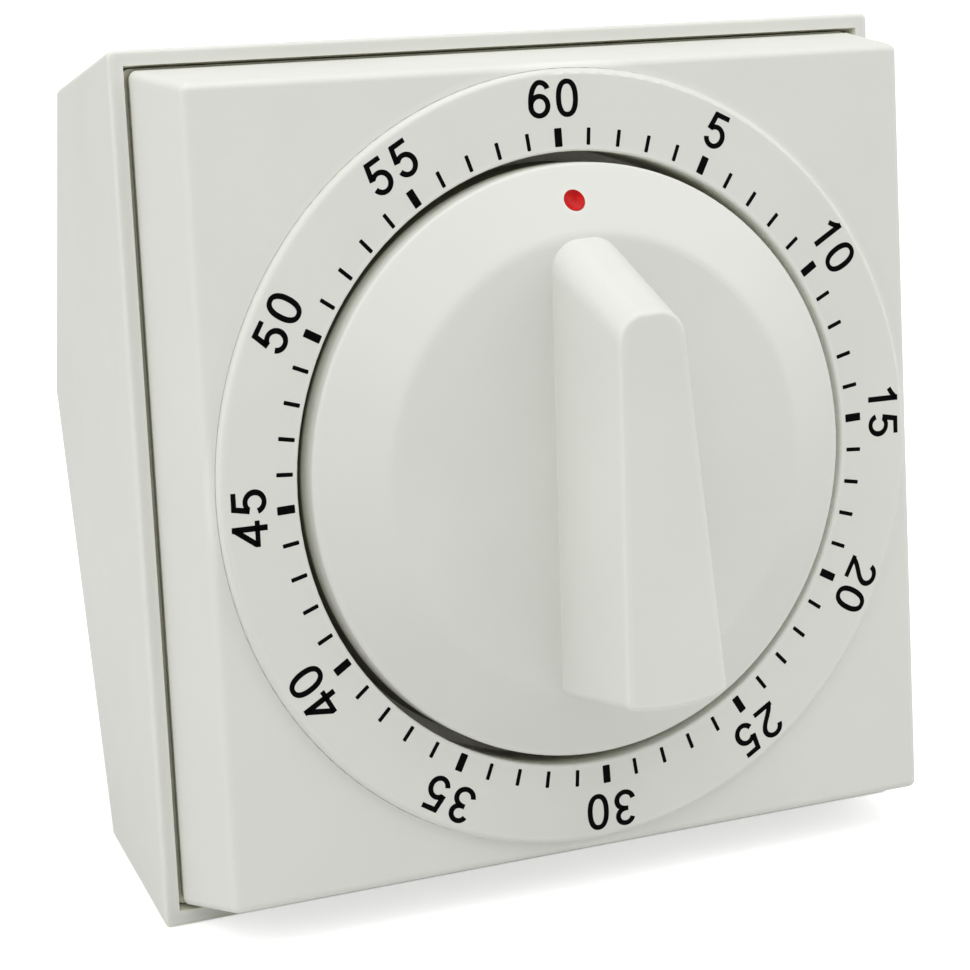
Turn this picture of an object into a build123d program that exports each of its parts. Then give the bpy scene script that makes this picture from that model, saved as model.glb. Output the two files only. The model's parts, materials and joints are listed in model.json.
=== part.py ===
from build123d import *
import os
from math import acos, asin, atan, atan2, cos, degrees, hypot, pi, radians, sin, sqrt, tan

# Square sixty minute kitchen timer. A wind-up movement with a bell hangs behind the front cover
# and is wound by the knob. The case stands on its drafted bottom side and so leans back.
# Millimetres and degrees. X runs right, the face looks to -Y, and Z is up from the base.

# Rear housing
CASE_WIDTH = 85.0  # square rim, across the outside
CASE_DRAFT = 8.0  # lean of all four sides, and of the whole timer on its base
CASE_WALL = 1.5
CASE_EDGE = 0.6  # rounding of the outer edges
RIM_EDGE = 0.4  # rounding of the rim's outer edge
TOP_DEPTH = 26.4  # top side, from the rim back
BOTTOM_DEPTH = 24.1  # bottom side, from the rim back
RIDGE_DEPTH = 38.9  # ridge between the two back planes
RIDGE_HEIGHT = 6.6  # ridge above the dial's axis
CASE_DROP = 0.25  # middle of the square case below the dial's axis
SLOT_COUNT = 5  # sound slots in the lower back plane
SLOT_LENGTH = 20.0
SLOT_WIDTH = 2.2
SLOT_PITCH = 4.4
SLOT_DROP = 16.0  # middle slot below the dial's axis

# Front cover
COVER_GAP = 0.5  # shadow gap between rim and cover
COVER_STEP = 1.5  # depth of the gap, down to the wider skirt
COVER_FIT = 0.1  # room round the skirt
COVER_NECK = 0.1  # floor of the gap behind the sides of the cover
COVER_RISE = 10.1  # front face ahead of the rim
COVER_DRAFT = 7.5
COVER_WALL = 1.9
COVER_SEAT = 3.0  # skirt inside the rim, down to the housing posts
COVER_EDGE = 0.8
WELL_DEPTH = 7.4  # well floor behind the dial ring's face

# Dial ring
RING_MARGIN = 0.75  # ring's edge inside the cover's front edge
RING_WIDTH = 8.0
RING_PROUD = 0.8  # above the cover's front face
RING_INSET = 0.8  # below it
RING_EDGE = 0.6
RING_INNER_EDGE = 0.25

# Knob, turned with the scale against the square case
DIAL_TWIST = 1.95
KNOB_GAP = 1.1  # round the knob in its well
KNOB_PROUD = 0.85  # edge of the disc ahead of the ring's face
KNOB_CROWN = 3.1  # rise of the coned margin
KNOB_MARGIN = 6.8  # width of the coned margin
KNOB_WALL = 1.8
KNOB_FLOOR_GAP = 0.8
KNOB_EDGE = 0.4
KNOB_BLEND = 2.5  # rounding between the flat and the coned margin
HUB_RADIUS = 4.0
RIB_COUNT = 4
RIB_THICKNESS = 0.9
FIN_HEIGHT = 11.95
FIN_ROOT = 0.6  # fin below the flat, so that its ends meet the coned margin
FIN_EDGE = 0.45  # rounding of its front edges
FIN_CORNER = 0.9  # and of the two corners of its foot
FIN_TIP_GAP = 0.3  # tip inside the flat's edge, and foot past it
FIN_FOOT_PAST = 0.3
FIN_TIP_RAKE = 6.5  # from the flat to the fin's front, the tip runs back by this
FIN_FOOT_RAKE = 0.7
FIN_BASE_HALF = 3.7  # half width of the tip at the flat, and at the fin's front
FIN_FRONT_HALF = 3.4
FIN_BASE_ROUND = 3.1  # rounding of the tip's corners at the flat, and at the fin's front
FIN_FRONT_ROUND = 2.7
FIN_FLARE = 3.2  # lean of its sides, from the tip out to the foot
DOT_RADIUS = 1.1
DOT_INSET = 3.5  # middle of the red dot inside the knob's edge
DOT_DEPTH = 0.6
DOT_PROUD = 0.02
DOT_LIP = 0.08  # edge left round the dimple in the dot
DOT_DIMPLE = 0.4
STOP_INSET = 3.8  # zero stop inside the knob's edge, a lug on the well floor and a rib under the knob
STOP_WIDTH = 1.0
STOP_LENGTH = 2.4
STOP_HEIGHT = 2.4
STOP_PLAY = 0.15

# Case screws
POST_INSET = 7.0  # screw axes inside the cover's edge
POST_RADIUS = 4.2
SCREW_RADIUS = 1.5
SCREW_HEAD_RADIUS = 2.75
SCREW_HEAD = 1.9
SCREW_BEVEL = 0.45
CROSS_LENGTH = 2.8  # cross recess in the head
CROSS_WIDTH = 0.7
CROSS_DEPTH = 0.95
SCREW_GRIP = 4.0  # post under the screw head
SCREW_BITE = 7.0  # thread in the cover's boss
SCREW_CLEARANCE = 0.2
HEAD_CLEARANCE = 0.35

# Movement frame
STANDOFF = 1.6  # between the well floor and the front plate
PLATE_THICKNESS = 1.0
PLATE_SPAN = 14.0  # between the two plates
PLATE_WIDTH = 47.0
PLATE_TOP = 19.0  # above the main arbor
PLATE_BOTTOM = 30.0  # below it
PLATE_CORNER = 3.0
EAR_INSET = 3.4  # screw ears of the front plate inside the well's edge
EAR_UPPER = 8.0
EAR_LOWER = -10.0
EAR_RADIUS = 2.75
SMALL_SCREW_RADIUS = 1.0
SMALL_HEAD_RADIUS = 1.8
SMALL_HEAD = 1.2
SMALL_BEVEL = 0.3
PILLAR_RADIUS = 2.0
PILLAR_SPIGOT = 1.2
PILLAR_INSET = 3.2  # pillar axes inside the plate's edges
NUT_RADIUS = 2.4  # across the corners
NUT_HEIGHT = 1.6
SLIP = 0.03  # radial room of one piece seated on another
RUNNING_FIT = 0.05  # radial room of a pivot in its hole
END_PLAY = 0.15

# Gear train
PRESSURE = 25.0
BACKLASH = 0.12
WHEEL_ADDENDUM = 0.72  # in modules
PINION_ADDENDUM = 0.82
DEDENDUM = 1.12
MAIN_TEETH = 60
SECOND_LEAVES = 10
MAIN_MODULE = 0.5
SECOND_TEETH = 50
THIRD_LEAVES = 10
SECOND_MODULE = 0.4
THIRD_TEETH = 48
ESCAPE_LEAVES = 8
THIRD_MODULE = 0.35
ALARM_LEAVES = 10
SECOND_BEARING = 215.0  # from the main arbor, anticlockwise from the right
THIRD_BEARING = 295.0  # from the second arbor
ESCAPE_BEARING = 20.0  # from the third arbor
PALLET_BEARING = 5.0  # from the escape arbor
ALARM_BEARING = 350.0  # from the main arbor
ARBOR_RADIUS = 0.9
PIVOT_RADIUS = 0.6
WHEEL_THICKNESS = 1.0
WHEEL_WINDOWS = 5
WHEEL_HUB = 1.5  # ring round the bore, in modules
WHEEL_RIM = 3.0  # ring inside the pitch circle, in modules
SPOKE_WIDTH = 1.0
PINION_OVERHANG = 0.4  # leaves past each face of the wheel that they mesh with

# Depths of the pieces behind the front plate
CAM_DEPTH = 0.4
MAIN_DEPTH = 2.2
SPRING_DEPTH = 5.4
THIRD_DEPTH = 7.0
SECOND_DEPTH = 12.5
BALANCE_DEPTH = 4.1
HAIRSPRING_DEPTH = 6.6
STAR_DEPTH = 8.4

# Main arbor, mainspring and alarm cam
MAIN_RADIUS = 2.0
MAIN_FLAT = 0.5  # depth of the flat on the knob's end
MAIN_END_GAP = 0.3
COLLAR_RADIUS = 3.6
COLLAR_THICKNESS = 0.7
SPRING_HUB_RADIUS = 3.0
SPRING_WIDTH = 6.4
SPRING_THICKNESS = 0.35
SPRING_STEP = 0.75  # outward for each half turn
SPRING_HALF_TURNS = 10
SPRING_POST_RADIUS = 1.0
SPRING_BEARING = 150.0
WASHER_RADIUS = 6.5
WASHER_THICKNESS = 0.3
WASHER_DISH = 0.5
WASHER_ARMS = 3
WASHER_SCALLOP = 2.3  # radius of the cuts between the arms
CLIP_RADIUS = 3.4
CLIP_THICKNESS = 0.6
CLIP_MOUTH = 2.6
CAM_RADIUS = 11.0
CAM_THICKNESS = 1.0
NOTCH_DEPTH = 2.6
NOTCH_HALF_ANGLE = 16.0
NOTCH_BEARING = 80.0

# Escapement
ESCAPE_TEETH = 18
ESCAPE_RADIUS = 5.6
ESCAPE_ROOT = 4.2
TOOTH_HEEL = 0.45  # corners of a tooth along its pitch: back of the tip, front of the tip, front root
TOOTH_TOE = 0.6
TOOTH_FRONT = 0.7
PALLET_DISTANCE = 9.0
PALLET_PIN_RADIUS = 0.4
PALLET_PIN_CLEARANCE = 0.75  # pins off the tooth tips at mid swing
PALLET_SPREAD = 50.0  # half angle between the pins, seen from the escape arbor
PALLET_ARM = 1.6
BALANCE_RADIUS = 7.4
BALANCE_RIM = 1.3
BALANCE_THICKNESS = 1.2
BALANCE_SPOKES = 3  # bars across, each two spokes
HAIR_WIDTH = 0.8
HAIR_THICKNESS = 0.2
HAIR_STEP = 0.45
HAIR_HALF_TURNS = 6
HAIR_STUD_RADIUS = 0.6
HAIR_BEARING = 60.0

# Alarm
STAR_POINTS = 8
STAR_RADIUS = 3.8
STAR_ROOT = 2.4
HAMMER_DISTANCE = 8.0  # hammer arbor from the alarm arbor
HAMMER_BEARING = 75.0
TAIL_CLEARANCE = 0.9  # tail off the star's points
TAIL_WIDTH = 1.4
HAMMER_SWING = 8.0  # to the bell
HAMMER_PLAY = 0.3  # left between head and bell
HAMMER_STRIKE = 38.0  # bearing of the blow, from the bell's middle
HAMMER_WIDTH = 2.4
HAMMER_THICKNESS = 1.0
HEAD_RADIUS = 2.2
HEAD_LENGTH = 5.0
BELL_HEIGHT = 7.0  # bell's middle above the dial's axis
BELL_RADIUS = 21.0
BELL_RISE = 7.0
BELL_WALL = 1.0
BELL_FLAT = 5.0
BELL_SETBACK = 5.4  # bell's mouth behind the back plate
BELL_POST_RADIUS = 2.5
BELL_SPIGOT = 1.5
BELL_NUT_RADIUS = 3.0
ARM_SETBACK = 2.4  # hammer arm behind the back plate
LEVER_REACH = 13.0  # detent lever from its stud to its finger
LEVER_WIDTH = 2.2
LEVER_CLEARANCE = 0.3  # finger off the cam when lifted
FINGER_LENGTH = 2.0
FINGER_WIDTH = 1.6
LEVER_TAIL = 4.5  # from the stud towards the hammer arbor
LOCK_ARM = 2.0  # on the hammer arbor, towards the lever's tail
STUD_RADIUS = 1.2
STUD_HEAD_RADIUS = 2.0
STUD_HEAD = 0.5
LEAF_THICKNESS = 0.3
LEAF_WIDTH = 0.8
LEAF_LENGTH = 9.0
LEAF_FOOT_RADIUS = 1.0
LEAF_PLAY = 0.1

# Frames of the dial. Its plane leans back with the case, and heights run out of the face from the rim.
lean = radians(CASE_DRAFT)
draft_slope = tan(lean)
half_width = CASE_WIDTH / 2
base_length = BOTTOM_DEPTH / cos(lean)
UP = Vector(0, sin(lean), cos(lean))
OUT = Vector(0, -cos(lean), sin(lean))
CASE_ORIGIN = Vector(0, -base_length / 2, 0) + UP * half_width
DIAL_ORIGIN = CASE_ORIGIN + UP * CASE_DROP
CASE = Plane(CASE_ORIGIN, x_dir=(1, 0, 0), z_dir=OUT)
DIAL = Plane(DIAL_ORIGIN, x_dir=(1, 0, 0), z_dir=OUT)
SIDE = Plane(DIAL_ORIGIN, x_dir=UP, z_dir=(1, 0, 0))
RADIAL = Plane(DIAL_ORIGIN, x_dir=(1, 0, 0), z_dir=-UP)
AXIS = Axis(DIAL_ORIGIN, OUT)

# Heights along the dial's axis
cover_width = CASE_WIDTH - 2 * (CASE_WALL / cos(lean) + COVER_GAP)
neck_width = cover_width - 2 * COVER_NECK
skirt_width = cover_width + 2 * (COVER_GAP - COVER_FIT - COVER_STEP * draft_slope)
face_half = cover_width / 2 - COVER_RISE * tan(radians(COVER_DRAFT))
ring_radius = face_half - RING_MARGIN
well_radius = ring_radius - RING_WIDTH
ring_face = COVER_RISE + RING_PROUD
well_floor = ring_face - WELL_DEPTH
floor_back = well_floor - COVER_WALL
plate_face = floor_back - STANDOFF
gap_front = plate_face - PLATE_THICKNESS
back_plate_back = PLATE_SPAN + PLATE_THICKNESS  # depth of the back plate's rear face
knob_radius = well_radius - KNOB_GAP
flat_radius = knob_radius - KNOB_MARGIN
stop_radius = knob_radius - STOP_INSET
dot_place = knob_radius - DOT_INSET
dimple_radius = ((DOT_RADIUS - DOT_LIP) ** 2 + DOT_DIMPLE ** 2) / (2 * DOT_DIMPLE)
ear_x = well_radius - EAR_INSET
knob_edge = ring_face + KNOB_PROUD
knob_flat = knob_edge + KNOB_CROWN
knob_foot = well_floor + KNOB_FLOOR_GAP
cone_slope = KNOB_CROWN / KNOB_MARGIN
post_place = cover_width / 2 - POST_INSET
screw_head_height = -COVER_SEAT - SCREW_GRIP
small_hole = STANDOFF + COVER_WALL / 2  # blind holes of the movement screws
small_bite = STANDOFF + COVER_WALL / 4


def ray(radius, angle):
    """Point at a radius and a bearing in degrees."""
    return (radius * cos(radians(angle)), radius * sin(radians(angle)))


def step_from(start, distance, bearing):
    """Point at a distance and a bearing from another point of the dial."""
    x, y = ray(distance, bearing)
    return (start[0] + x, start[1] + y)


def twist(plane, angle):
    """The same plane with its axes turned anticlockwise by an angle, as seen from the front."""
    x_dir = plane.x_dir * cos(radians(angle)) + plane.y_dir * sin(radians(angle))
    return Plane(plane.origin, x_dir=x_dir, z_dir=plane.z_dir)


def at(height, angle=0.0):
    """Plane across the dial's axis, a height ahead of the rim."""
    return twist(DIAL.offset(height), angle)


def station(centre, depth, turn=0.0):
    """Plane across an arbor, a depth behind the inside of the front plate."""
    origin = DIAL.from_local_coords((centre[0], centre[1], gap_front - depth))
    return twist(Plane(origin, x_dir=DIAL.x_dir, z_dir=DIAL.z_dir), turn)


def turned(centre, start, end, radius):
    """Round length of a turned piece between two depths."""
    with BuildSketch(station(centre, start)) as section:
        Circle(radius)
    extrude(section.sketch, amount=start - end)


def write(piece, name):
    """Label a finished piece and write its file."""
    piece.part.label = name
    export_step(piece.part, "parts/" + name + ".step")


# Places of the arbors on the dial
MAIN = (0.0, 0.0)
SECOND = step_from(MAIN, MAIN_MODULE * (MAIN_TEETH + SECOND_LEAVES) / 2, SECOND_BEARING)
THIRD = step_from(SECOND, SECOND_MODULE * (SECOND_TEETH + THIRD_LEAVES) / 2, THIRD_BEARING)
ESCAPE = step_from(THIRD, THIRD_MODULE * (THIRD_TEETH + ESCAPE_LEAVES) / 2, ESCAPE_BEARING)
PALLET = step_from(ESCAPE, PALLET_DISTANCE, PALLET_BEARING)
ALARM = step_from(MAIN, MAIN_MODULE * (MAIN_TEETH + ALARM_LEAVES) / 2, ALARM_BEARING)
HAMMER = step_from(ALARM, HAMMER_DISTANCE, HAMMER_BEARING)
BELL = (0.0, BELL_HEIGHT)
finger_radius = CAM_RADIUS + LEVER_CLEARANCE
FINGER = step_from(MAIN, finger_radius, NOTCH_BEARING)
ELBOW = step_from(FINGER, FINGER_LENGTH + LEVER_WIDTH / 2, NOTCH_BEARING)
STUD = step_from(ELBOW, LEVER_REACH, NOTCH_BEARING - 90)
pillar_x = PLATE_WIDTH / 2 - PILLAR_INSET
PILLARS = [
    (x, y)
    for x in (-pillar_x, pillar_x)
    for y in (-PLATE_BOTTOM + PILLAR_INSET, PLATE_TOP - PILLAR_INSET)
]
EARS = [(x, y) for x in (-ear_x, ear_x) for y in (EAR_UPPER, EAR_LOWER)]
POSTS = [(x, y - CASE_DROP) for x in (-post_place, post_place) for y in (-post_place, post_place)]
PIVOTED = [SECOND, THIRD, ESCAPE, PALLET, ALARM, HAMMER]

os.makedirs("parts", exist_ok=True)


# Rear housing
def case_block(inset):
    """Drafted block with the two back planes, its closed walls moved in by an inset."""
    top = half_width - CASE_DROP
    bottom = -half_width - CASE_DROP
    with BuildSketch(DIAL) as plan:
        Rectangle(CASE_WIDTH - 2 * inset / cos(lean), 2 * CASE_WIDTH)
    extrude(plan.sketch, amount=-RIDGE_DEPTH, taper=CASE_DRAFT)
    with BuildSketch(SIDE) as profile:
        with BuildLine():
            Polyline(
                (top + inset * draft_slope, inset),
                (top - TOP_DEPTH * draft_slope, -TOP_DEPTH),
                (RIDGE_HEIGHT, -RIDGE_DEPTH),
                (bottom + BOTTOM_DEPTH * draft_slope, -BOTTOM_DEPTH),
                (bottom - inset * draft_slope, inset),
                close=True,
            )
        make_face()
        if inset > 0:
            offset(amount=-inset, kind=Kind.INTERSECTION)
    extrude(profile.sketch, amount=CASE_WIDTH, both=True, mode=Mode.INTERSECT)


with BuildPart() as case_cavity:
    case_block(CASE_WALL)
    with BuildSketch(at(-COVER_SEAT)):
        with Locations(*POSTS):
            Circle(POST_RADIUS)
    extrude(amount=-RIDGE_DEPTH, mode=Mode.SUBTRACT)

with BuildPart() as rear_housing:
    case_block(0)
    rim_edges = rear_housing.edges().group_by(AXIS)[-1]
    fillet(rear_housing.edges() - rim_edges, CASE_EDGE)
    fillet(rear_housing.edges().group_by(AXIS)[-1], RIM_EDGE)
    add(case_cavity.part, mode=Mode.SUBTRACT)
    with BuildSketch(at(-COVER_SEAT)):
        with Locations(*POSTS):
            Circle(SCREW_RADIUS + SCREW_CLEARANCE)
    extrude(amount=-SCREW_GRIP, mode=Mode.SUBTRACT)
    with BuildSketch(at(screw_head_height)):
        with Locations(*POSTS):
            Circle(SCREW_HEAD_RADIUS + HEAD_CLEARANCE)
    extrude(amount=-RIDGE_DEPTH, mode=Mode.SUBTRACT)
    with BuildSketch(at(-RIDGE_DEPTH)):
        with Locations((0, -SLOT_DROP)):
            with GridLocations(0, SLOT_PITCH, 1, SLOT_COUNT):
                SlotOverall(SLOT_LENGTH, SLOT_WIDTH)
    extrude(amount=RIDGE_DEPTH - BOTTOM_DEPTH, mode=Mode.SUBTRACT)
write(rear_housing, "rear_housing")

with BuildPart() as housing_screws:
    with BuildSketch(at(screw_head_height)):
        with Locations(*POSTS):
            Circle(SCREW_HEAD_RADIUS)
    extrude(amount=-SCREW_HEAD)
    chamfer(housing_screws.edges().group_by(AXIS)[0], SCREW_BEVEL)
    with BuildSketch(at(screw_head_height)):
        with Locations(*POSTS):
            Circle(SCREW_RADIUS)
    extrude(amount=SCREW_GRIP + SCREW_BITE)
    with BuildSketch(at(screw_head_height - SCREW_HEAD)):
        with Locations(*POSTS):
            Rectangle(CROSS_LENGTH, CROSS_WIDTH)
            Rectangle(CROSS_WIDTH, CROSS_LENGTH)
    extrude(amount=CROSS_DEPTH, mode=Mode.SUBTRACT)
write(housing_screws, "housing_screws")

# Front cover, widest in the plane of the rim
with BuildPart() as cover_hollow:
    with BuildSketch(CASE):
        Rectangle(cover_width - 2 * COVER_WALL, cover_width - 2 * COVER_WALL)
    extrude(amount=COVER_RISE - COVER_WALL, taper=COVER_DRAFT)
    with BuildSketch(CASE):
        Rectangle(cover_width - 2 * COVER_WALL, cover_width - 2 * COVER_WALL)
    extrude(amount=-COVER_SEAT, taper=CASE_DRAFT)
    with BuildSketch(at(floor_back)):
        Circle(well_radius + COVER_WALL)
    extrude(amount=WELL_DEPTH, mode=Mode.SUBTRACT)
    with BuildSketch(at(-COVER_SEAT)):
        with Locations(*POSTS):
            Circle(POST_RADIUS)
    extrude(amount=COVER_SEAT + COVER_RISE, mode=Mode.SUBTRACT)
    with BuildSketch(at(plate_face)):
        with Locations(*EARS):
            Circle(EAR_RADIUS)
    extrude(amount=STANDOFF, mode=Mode.SUBTRACT)

with BuildPart() as front_cover:
    with BuildSketch(CASE):
        Rectangle(cover_width, cover_width)
    extrude(amount=COVER_RISE, taper=COVER_DRAFT)
    back_edges = front_cover.edges().group_by(AXIS)[0]
    fillet(front_cover.edges() - back_edges, COVER_EDGE)
    with BuildSketch(CASE):
        RectangleRounded(neck_width, neck_width, COVER_EDGE)
    extrude(amount=-COVER_STEP, taper=CASE_DRAFT)
    with BuildSketch(CASE.offset(-COVER_STEP)):
        RectangleRounded(skirt_width, skirt_width, COVER_EDGE)
    extrude(amount=COVER_STEP - COVER_SEAT, taper=CASE_DRAFT)
    add(cover_hollow.part, mode=Mode.SUBTRACT)
    with BuildSketch(at(COVER_RISE - RING_INSET)):
        Circle(ring_radius + SLIP)
    extrude(amount=RING_INSET, mode=Mode.SUBTRACT)
    with BuildSketch(at(well_floor)):
        Circle(well_radius)
    extrude(amount=WELL_DEPTH, mode=Mode.SUBTRACT)
    with BuildSketch(at(well_floor)):
        with Locations((0, -stop_radius)):
            Rectangle(STOP_WIDTH, STOP_LENGTH)
    extrude(amount=STOP_HEIGHT)
    with BuildSketch(at(well_floor)):
        Circle(MAIN_RADIUS + MAIN_END_GAP)
    extrude(amount=-COVER_WALL, mode=Mode.SUBTRACT)
    with BuildSketch(at(-COVER_SEAT)):
        with Locations(*POSTS):
            Circle(SCREW_RADIUS + SLIP)
    extrude(amount=SCREW_BITE + MAIN_END_GAP, mode=Mode.SUBTRACT)
    with BuildSketch(at(plate_face)):
        with Locations(*EARS):
            Circle(SMALL_SCREW_RADIUS + SLIP)
    extrude(amount=small_hole, mode=Mode.SUBTRACT)
write(front_cover, "front_cover")

with BuildPart() as dial_ring:
    with BuildSketch(at(COVER_RISE - RING_INSET)):
        Circle(ring_radius)
        Circle(well_radius, mode=Mode.SUBTRACT)
    extrude(amount=RING_INSET + RING_PROUD)
    face_edges = dial_ring.edges().group_by(AXIS)[-1].sort_by(SortBy.RADIUS)
    fillet(face_edges[-1], RING_EDGE)
    face_edges = dial_ring.edges().filter_by(GeomType.CIRCLE).group_by(AXIS)[-1].sort_by(SortBy.RADIUS)
    fillet(face_edges[0], RING_INNER_EDGE)
write(dial_ring, "dial_ring")


# Knob
def fin_outline(height, inset=0.0, corner=0.0):
    """Outline of the grip fin at a height over the flat: rounded tip, bowed foot."""
    share = height / FIN_HEIGHT
    tip = flat_radius - FIN_TIP_GAP - FIN_TIP_RAKE * share - inset
    foot = flat_radius + FIN_FOOT_PAST - FIN_FOOT_RAKE * share - inset
    tip_half = FIN_BASE_HALF + (FIN_FRONT_HALF - FIN_BASE_HALF) * share - inset
    tip_round = FIN_BASE_ROUND + (FIN_FRONT_ROUND - FIN_BASE_ROUND) * share - inset
    slope = tan(radians(FIN_FLARE))
    side_start = tip_half + tip * slope
    foot_y = (sqrt(foot ** 2 * (1 + slope ** 2) - side_start ** 2) - side_start * slope) / (1 + slope ** 2)
    foot_half = side_start + foot_y * slope
    with BuildSketch(at(knob_flat + height, DIAL_TWIST)) as outline:
        with BuildLine():
            Polyline((foot_half, -foot_y), (tip_half, tip), (-tip_half, tip), (-foot_half, -foot_y))
            ThreePointArc((-foot_half, -foot_y), (0, -foot), (foot_half, -foot_y))
        make_face()
        fillet(outline.vertices().group_by(Axis.Y)[-1], tip_round)
        if corner > 0:
            fillet(outline.vertices().group_by(Axis.Y)[0], corner)
    return outline.sketch


stop_angle = degrees(2 * asin((STOP_WIDTH + STOP_PLAY) / 2 / (stop_radius - STOP_LENGTH / 2)))
skirt_inside = knob_radius - KNOB_WALL
flat_inside = knob_flat - KNOB_WALL

with BuildPart() as knob_hollow:
    with BuildSketch(RADIAL):
        with BuildLine():
            Polyline(
                (0, knob_foot),
                (skirt_inside, knob_foot),
                (skirt_inside, flat_inside - (skirt_inside - flat_radius) * cone_slope),
                (flat_radius, flat_inside),
                (0, flat_inside),
                close=True,
            )
        make_face()
    revolve(axis=AXIS)
    loft([fin_outline(-KNOB_WALL, KNOB_WALL), fin_outline(FIN_HEIGHT - KNOB_WALL, KNOB_WALL)])
    with BuildSketch(at(knob_foot)):
        Circle(HUB_RADIUS)
    extrude(amount=knob_flat + FIN_HEIGHT - knob_foot, mode=Mode.SUBTRACT)
    with BuildSketch(at((knob_foot + flat_inside) / 2, DIAL_TWIST)):
        with PolarLocations(0, RIB_COUNT):
            with Locations((knob_radius / 2, 0)):
                Rectangle(knob_radius, RIB_THICKNESS)
    extrude(amount=(flat_inside - knob_foot) / 2, mode=Mode.SUBTRACT)
    with BuildSketch(at(knob_foot, -stop_angle)):
        with Locations((0, -stop_radius)):
            Rectangle(STOP_WIDTH, STOP_LENGTH)
    extrude(amount=flat_inside - knob_foot, mode=Mode.SUBTRACT)

with BuildPart() as knob:
    with BuildSketch(RADIAL):
        with BuildLine():
            Polyline(
                (0, knob_foot),
                (knob_radius, knob_foot),
                (knob_radius, knob_edge),
                (flat_radius, knob_flat),
                (0, knob_flat),
                close=True,
            )
        make_face()
    revolve(axis=AXIS)
    rim_circle = knob.edges().filter_by(GeomType.CIRCLE).sort_by(SortBy.RADIUS).group_by(AXIS)[-2]
    fillet(rim_circle, KNOB_EDGE)
    flat_circle = knob.edges().filter_by(GeomType.CIRCLE).group_by(AXIS)[-1]
    fillet(flat_circle, KNOB_BLEND)
    loft([fin_outline(-FIN_ROOT, corner=FIN_CORNER), fin_outline(FIN_HEIGHT, corner=FIN_CORNER)])
    fillet(knob.faces().sort_by(AXIS)[-1].edges(), FIN_EDGE)
    add(knob_hollow.part, mode=Mode.SUBTRACT)
    with BuildSketch(at(knob_foot, DIAL_TWIST)):
        Circle(MAIN_RADIUS + SLIP)
        with Locations((0, 2 * MAIN_RADIUS - MAIN_FLAT + SLIP)):
            Rectangle(2 * MAIN_RADIUS, 2 * MAIN_RADIUS, mode=Mode.SUBTRACT)
    extrude(amount=knob_flat - knob_foot, mode=Mode.SUBTRACT)
    cone_angle = atan(cone_slope)
    dot_height = knob_edge + (knob_radius - dot_place) * cone_slope
    margin = at(dot_height, DIAL_TWIST)
    dot_normal = margin.y_dir * sin(cone_angle) + margin.z_dir * cos(cone_angle)
    DOT_PLANE = Plane(margin.from_local_coords((0, dot_place)), x_dir=margin.x_dir, z_dir=dot_normal)
    with BuildSketch(DOT_PLANE.offset(-DOT_DEPTH)):
        Circle(DOT_RADIUS + SLIP)
    extrude(amount=2 * DOT_DEPTH, mode=Mode.SUBTRACT)
write(knob, "knob")

with BuildPart() as pointer_dot:
    with BuildSketch(DOT_PLANE.offset(-DOT_DEPTH)):
        Circle(DOT_RADIUS)
    extrude(amount=DOT_DEPTH + DOT_PROUD)
    with Locations(DOT_PLANE.offset(DOT_PROUD - DOT_DIMPLE + dimple_radius)):
        Sphere(dimple_radius, mode=Mode.SUBTRACT)
write(pointer_dot, "pointer_dot")


# Movement frame
def plate_outline():
    """Rounded plate that reaches past the pillars."""
    with Locations((0, (PLATE_TOP - PLATE_BOTTOM) / 2)):
        RectangleRounded(PLATE_WIDTH, PLATE_TOP + PLATE_BOTTOM, PLATE_CORNER)


def plate_holes():
    """Holes that both plates share."""
    with Locations(*PILLARS):
        Circle(PILLAR_SPIGOT + SLIP, mode=Mode.SUBTRACT)
    with Locations(*PIVOTED):
        Circle(PIVOT_RADIUS + RUNNING_FIT, mode=Mode.SUBTRACT)
    Circle(MAIN_RADIUS + RUNNING_FIT, mode=Mode.SUBTRACT)


with BuildPart() as movement_front_plate:
    with BuildSketch(at(plate_face)):
        plate_outline()
        with Locations((0, EAR_UPPER), (0, EAR_LOWER)):
            SlotCenterToCenter(2 * ear_x, 2 * EAR_RADIUS)
        plate_holes()
        with Locations(*EARS):
            Circle(SMALL_SCREW_RADIUS + SCREW_CLEARANCE, mode=Mode.SUBTRACT)
        with Locations(STUD):
            Circle(STUD_RADIUS + SLIP, mode=Mode.SUBTRACT)
    extrude(amount=-PLATE_THICKNESS)
write(movement_front_plate, "movement_front_plate")

with BuildPart() as movement_screws:
    with BuildSketch(at(gap_front)):
        with Locations(*EARS):
            Circle(SMALL_HEAD_RADIUS)
    extrude(amount=-SMALL_HEAD)
    chamfer(movement_screws.edges().group_by(AXIS)[0], SMALL_BEVEL)
    with BuildSketch(at(gap_front)):
        with Locations(*EARS):
            Circle(SMALL_SCREW_RADIUS)
    extrude(amount=PLATE_THICKNESS + small_bite)
write(movement_screws, "movement_screws")

with BuildPart() as plate_pillars:
    for place in PILLARS:
        turned(place, 0, PLATE_SPAN, PILLAR_RADIUS)
        turned(place, -PLATE_THICKNESS, back_plate_back + NUT_HEIGHT + MAIN_END_GAP, PILLAR_SPIGOT)
write(plate_pillars, "plate_pillars")

with BuildPart() as pillar_nuts:
    with BuildSketch(station(MAIN, back_plate_back)):
        with Locations(*PILLARS):
            RegularPolygon(NUT_RADIUS, 6)
            Circle(PILLAR_SPIGOT + SLIP, mode=Mode.SUBTRACT)
    extrude(amount=-NUT_HEIGHT)
write(pillar_nuts, "pillar_nuts")


# Gears
def involute(angle):
    """Involute function of a pressure angle in radians."""
    return tan(angle) - angle


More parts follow.
